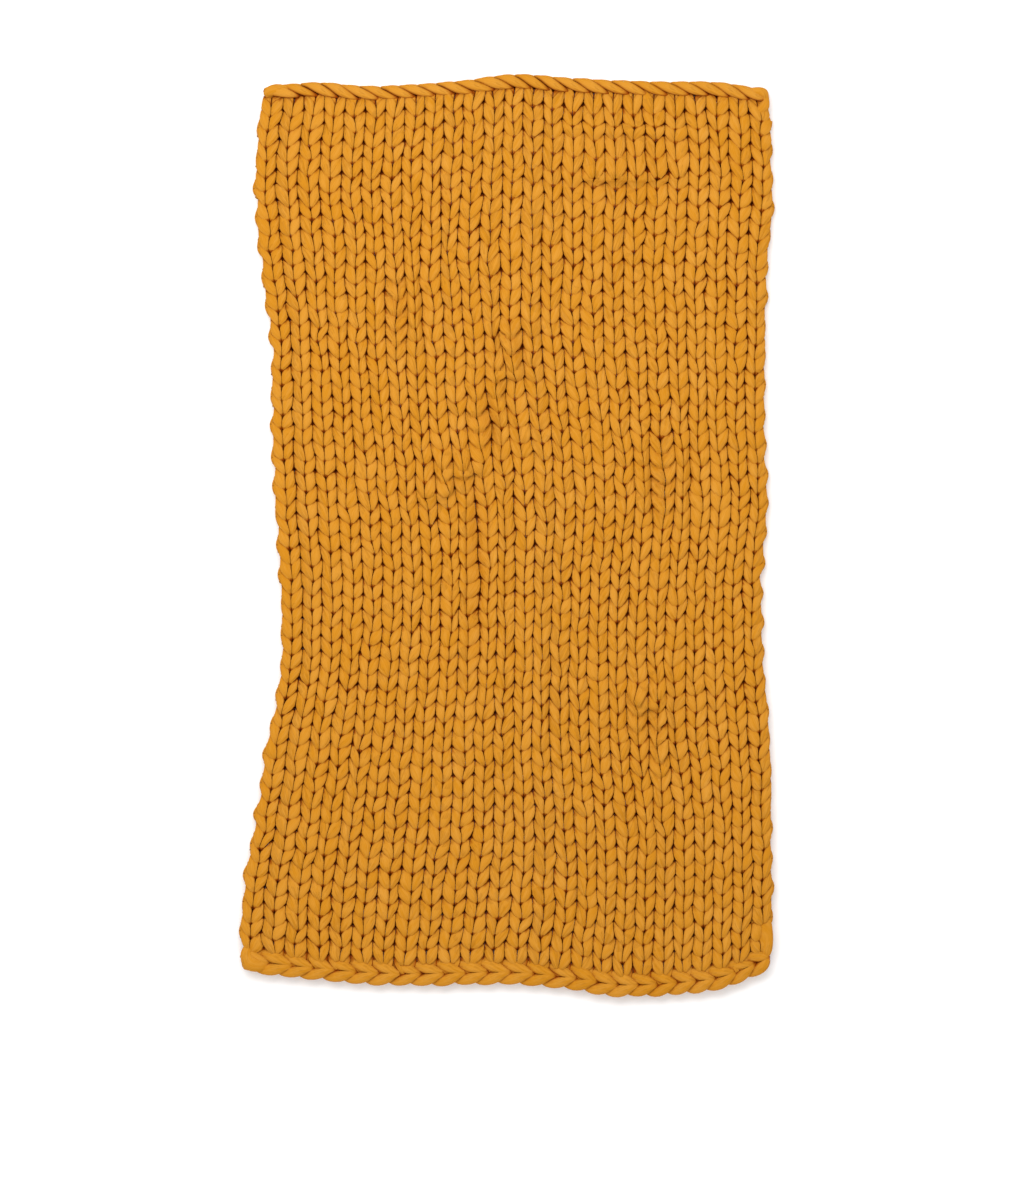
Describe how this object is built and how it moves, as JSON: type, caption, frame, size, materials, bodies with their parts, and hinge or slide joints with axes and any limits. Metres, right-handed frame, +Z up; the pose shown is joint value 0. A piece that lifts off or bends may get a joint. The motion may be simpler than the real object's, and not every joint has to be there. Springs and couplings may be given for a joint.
{
  "type": "weighted blanket",
  "caption": "Chunky hand-knitted weighted blanket in plain stockinette, laid out flat, with a rolled end, a chain end and turned-under sides.",
  "frame": {"origin": "middle of the footprint, on the surface that the blanket lies on", "axes": "+Y along the blanket towards its rolled end, +X across it, +Z up out of its knitted face"},
  "size_m": [1.0574, 1.8276, 0.0525],
  "materials": {
    "knit_yarn": "matt smooth stuffed tube yarn"
  },
  "bodies": {
    "root": {"knit_blanket": "knit_yarn"}
  },
  "joints": []
}
